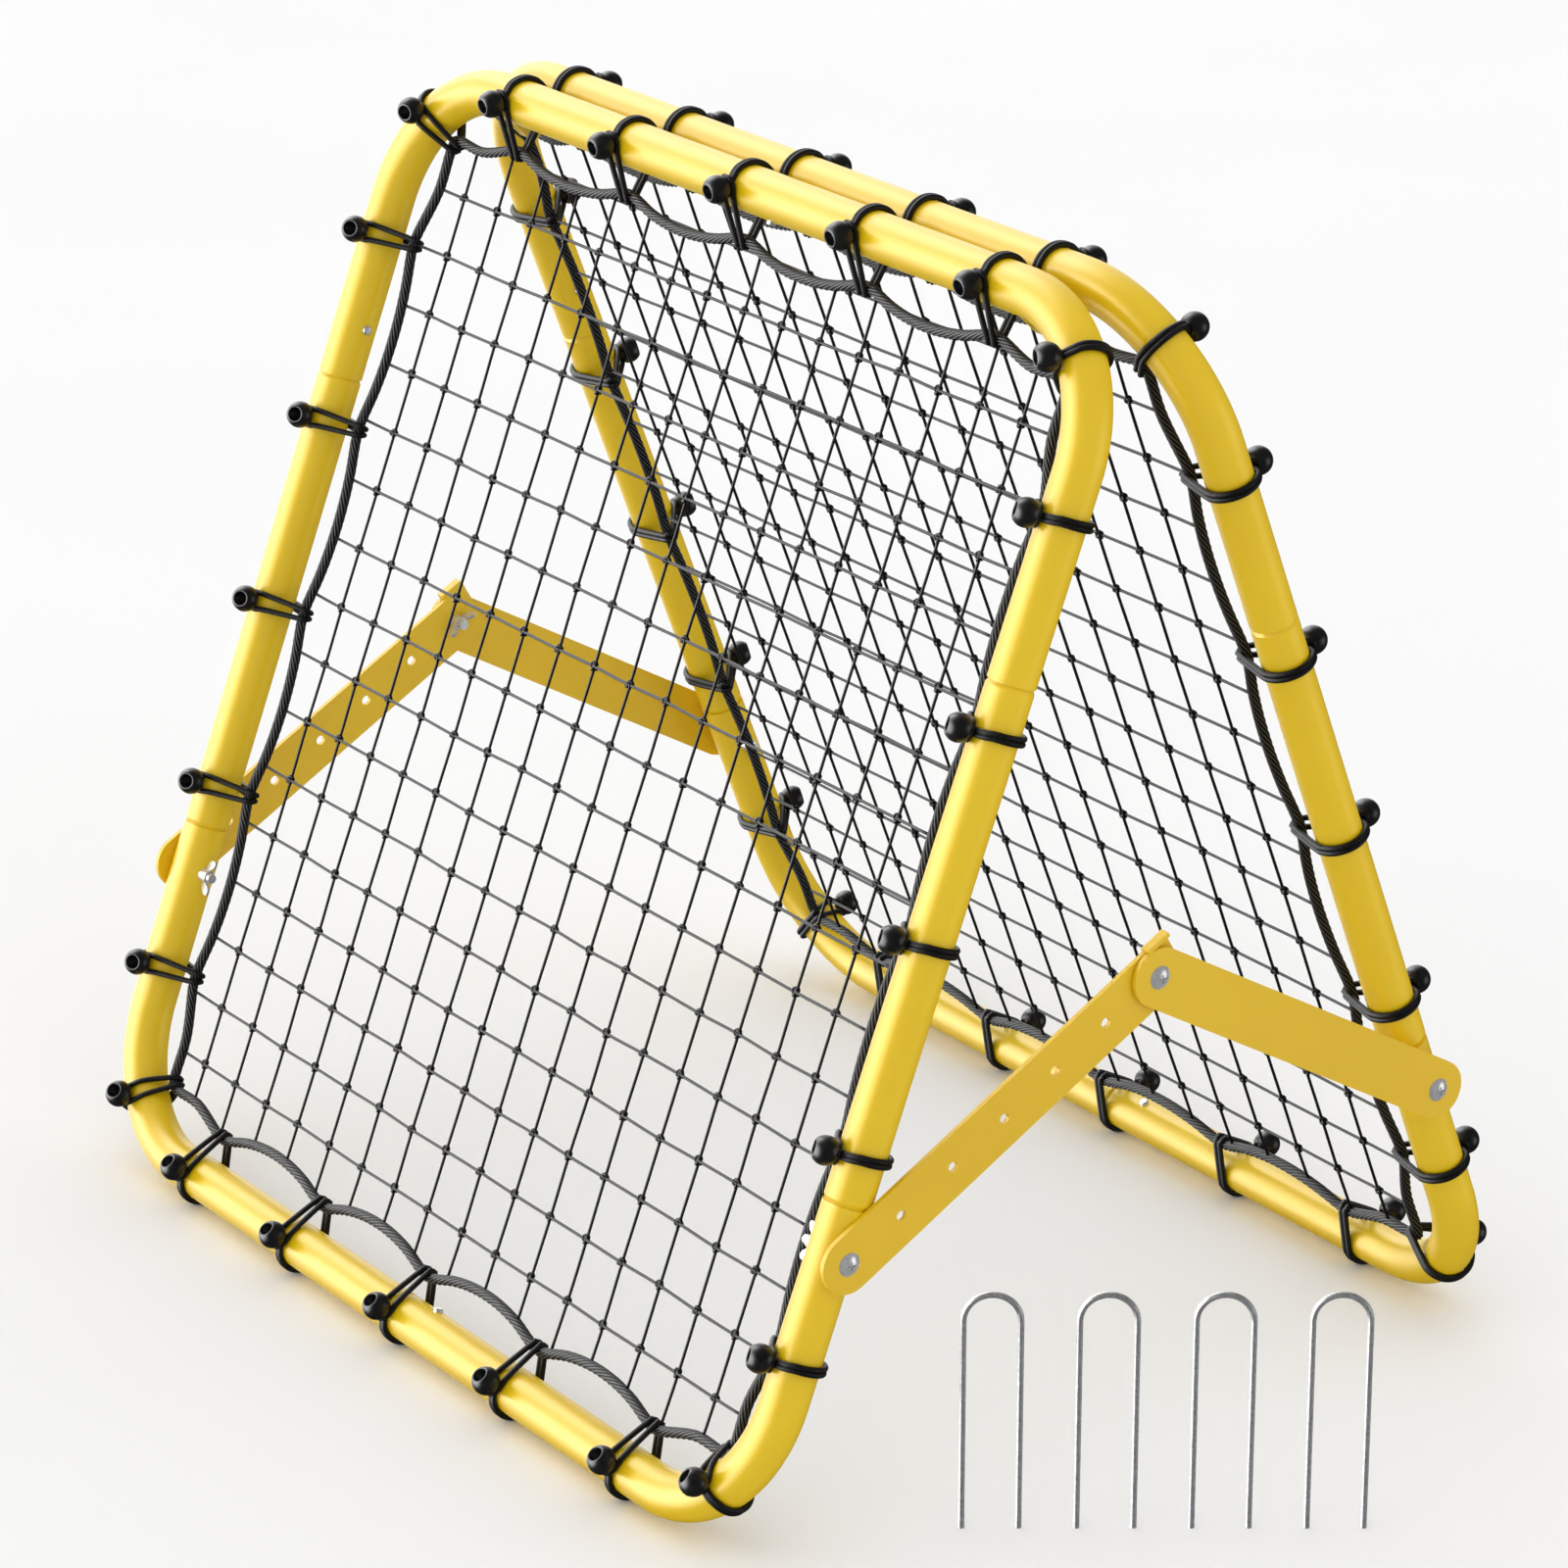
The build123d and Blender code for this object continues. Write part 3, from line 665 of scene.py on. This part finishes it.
def tie(cords, balls, place, rope_away, rise, drop):
    """One tie and its ball. place holds the tie's origin and its A and X directions; drop is
    how far the ball, and the cord near it, hang below that."""
    origin, along, across = (np.array(v, float) for v in place)
    outward = np.array((0, 0, 1.0))
    slip = np.array((0, -drop, 0.0))
    for mirror_x in (1, -1):
        half = np.array(tie_route(rope_away, rise))
        route = origin + half[:, :1] * along + mirror_x * half[:, 1:2] * across + half[:, 2:] * outward
        near_ball = np.clip((half[:, 2:] - DROP_FROM) / DROP_OVER, 0, 1)
        cords.tube(smooth_path(route + near_ball * slip, CORD_STEP), CORD_R, sides=14)
    middle = Vector(origin + rise * along + BALL_OUT * outward + slip)
    axis = Vector(math.sin(BALL_TILT) * along + math.cos(BALL_TILT) * outward)
    turn = axis.to_track_quat("Z", "Y").to_matrix().to_4x4()
    balls.turned(ball_profile(), Matrix.Translation(middle) @ turn)


def tie_places():
    """Each side's ties: (origin, A direction, X direction), the rope's distance, rise, drop."""
    bend = HALF - BEND_R + BEND_R * math.sqrt(0.5)
    corner_away = math.sqrt(2) * (bend - ROPE_CORNER)
    slant = math.sqrt(0.5)
    sides = {}
    for name, x, y in (("top", 0, 1), ("bottom", 0, -1), ("left", -1, 0), ("right", 1, 0)):
        drop = LEG_BALL_DROP if x else 0
        sides[name] = []
        for k in range(-TIES_EACH_WAY, TIES_EACH_WAY + 1):
            origin = (x * HALF + abs(y) * k * TIE_PITCH, y * HALF + abs(x) * k * TIE_PITCH, 0)
            place = (origin, (-x, -y, 0), (abs(y), abs(x), 0))
            sides[name].append((place, ROPE_IN[name], BALL_RISE[name], drop))
        for up in (1, -1) if x else ():
            place = ((x * bend, up * bend, 0), (-x * slant, -up * slant, 0), (-x * slant, up * slant, 0))
            sides[name].append((place, corner_away, CORNER_BALL_RISE, drop))
    return sides


def ties(where, rear):
    """One frame's ties, a piece for each side, and all its balls; gives the sides' pieces."""
    balls = Mesher()
    body = f"{where}_frame"
    made = {}
    for side, places in tie_places().items():
        cords = Mesher()
        for place in places:
            tie(cords, balls, *place)
        made[side] = cords.build(
            f"{where}_{side}_ties",
            rear,
            LOOKS["elastic_cord"],
            body,
            "elastic_cord",
            [f"{where}_{side}_loops"],
        )
    balls.build(f"{where}_tie_balls", rear, LOOKS["black_ball"], body, "black_ball", [f"{where}_balls"])
    return made


for where, rear in (("front", False), ("rear", True)):
    border_rope(where, rear)
    net(where, rear)
    tied = ties(where, rear)
    if not rear:
        for side, sign in (("left", -1), ("right", 1)):
            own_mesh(tied[side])


# ---- stage, light, camera ----

FLOOR_HALF = 30.0

# The surround that lights the matt surfaces, and what glossy ones see of it: its level away
# from the soft boxes, and for each box its direction, the degrees it fades over, its strength.
SURROUND = 0.98
DARK_SURROUND = 0.05
SOFT_BOXES = (
    ((-0.40, -0.91, 0.05), 44, 11.0),
    ((-0.72, -0.05, 0.69), 26, 4.0),
    ((-0.92, -0.1, 0.35), 70, 3.4),
    ((0.7, 0.68, -0.05), 25, 1.6),
)

# Lamps: name, azimuth, elevation and strength; azimuth 0 is in front, and grows to the right.
LAMPS = (("left", -60, 25, 0.08), ("top", 20, 80, 0.1))
LAMP_ANGLE = 60

LENS, SENSOR = 137.0, 36.0
CAMERA_AZIMUTH, CAMERA_ELEVATION, CAMERA_DISTANCE = 55.0, 20.75, 4.885
LOOK_AT = (0.0095, -0.0005, 0.4078)


def direction(azimuth, elevation):
    """The direction from the object to something at this azimuth and elevation, in degrees."""
    a, e = math.radians(azimuth), math.radians(elevation)
    return Vector((math.sin(a) * math.cos(e), -math.cos(a) * math.cos(e), math.sin(e)))


def floor():
    """A wide pale floor, kept out of reflections."""
    mesh = bpy.data.meshes.new("floor")
    far = FLOOR_HALF
    mesh.from_pydata(
        [(-far, -far, 0), (far, -far, 0), (far, far, 0), (-far, far, 0)], [], [(0, 1, 2, 3)]
    )
    piece = bpy.data.objects.new("floor", mesh)
    bpy.context.scene.collection.objects.link(piece)
    m = Nodes("floor", Roughness=0.9, Specular_IOR_Level=0.1)
    pale = m.noise(m.coordinates(), 1.2, 2.0)
    m.link(
        m.ramp(pale, [(0.3, (0.93, 0.93, 0.93)), (0.7, (0.95, 0.95, 0.95))]),
        m.shader.inputs["Base Color"],
    )
    mesh.materials.append(m.material)
    piece.visible_glossy = False


def soft_light(name, azimuth, elevation, strength):
    """A distant soft lamp, kept out of reflections."""
    light = bpy.data.lights.new(name, "SUN")
    light.energy, light.angle = strength, math.radians(LAMP_ANGLE)
    lamp = bpy.data.objects.new(name, light)
    lamp.rotation_euler = direction(azimuth, elevation).to_track_quat("Z", "Y").to_euler()
    lamp.visible_glossy = False
    bpy.context.scene.collection.objects.link(lamp)


def glow(tree, toward, spread, strength):
    """The reflection of one soft box: full within its middle, and fading over spread degrees."""
    where = tree.nodes.new("ShaderNodeTexCoord")
    facing = tree.nodes.new("ShaderNodeVectorMath")
    facing.operation = "DOT_PRODUCT"
    facing.inputs[1].default_value = Vector(toward).normalized()
    tree.links.new(where.outputs["Generated"], facing.inputs[0])
    fade = tree.nodes.new("ShaderNodeMapRange")
    fade.interpolation_type = "SMOOTHSTEP"
    fade.inputs["From Min"].default_value = math.cos(math.radians(spread))
    fade.inputs["To Max"].default_value = strength
    tree.links.new(facing.outputs["Value"], fade.inputs["Value"])
    return fade.outputs["Result"]


def lights():
    """An even white surround that reflects as soft boxes, and lamps from the left and top."""
    world = bpy.data.worlds.new("studio")
    bpy.context.scene.world = world
    world.use_nodes = True
    world.cycles.sampling_method = "NONE"
    tree = world.node_tree
    background = tree.nodes["Background"]
    background.inputs["Color"].default_value = (1, 1, 1, 1)
    shine = tree.nodes.new("ShaderNodeValue").outputs[0]
    shine.default_value = DARK_SURROUND
    for toward, spread, strength in SOFT_BOXES:
        total = tree.nodes.new("ShaderNodeMath")
        tree.links.new(shine, total.inputs[0])
        tree.links.new(glow(tree, toward, spread, strength), total.inputs[1])
        shine = total.outputs[0]
    path = tree.nodes.new("ShaderNodeLightPath")
    level = tree.nodes.new("ShaderNodeMix")
    level.inputs["A"].default_value = SURROUND
    tree.links.new(path.outputs["Is Glossy Ray"], level.inputs["Factor"])
    tree.links.new(shine, level.inputs["B"])
    tree.links.new(level.outputs["Result"], background.inputs["Strength"])
    for lamp in LAMPS:
        soft_light(*lamp)


def camera():
    """A long lens from the right of the front, a little above, as an ordinary product view."""
    data = bpy.data.cameras.new("camera")
    data.lens, data.sensor_width = LENS, SENSOR
    data.clip_end = 100.0
    eye = bpy.data.objects.new("camera", data)
    back = direction(CAMERA_AZIMUTH, CAMERA_ELEVATION)
    eye.location = Vector(LOOK_AT) + back * CAMERA_DISTANCE
    eye.rotation_euler = (-back).to_track_quat("-Z", "Y").to_euler()
    bpy.context.scene.collection.objects.link(eye)
    bpy.context.scene.camera = eye


floor()
lights()
camera()
bpy.context.scene.view_settings.view_transform = "Standard"
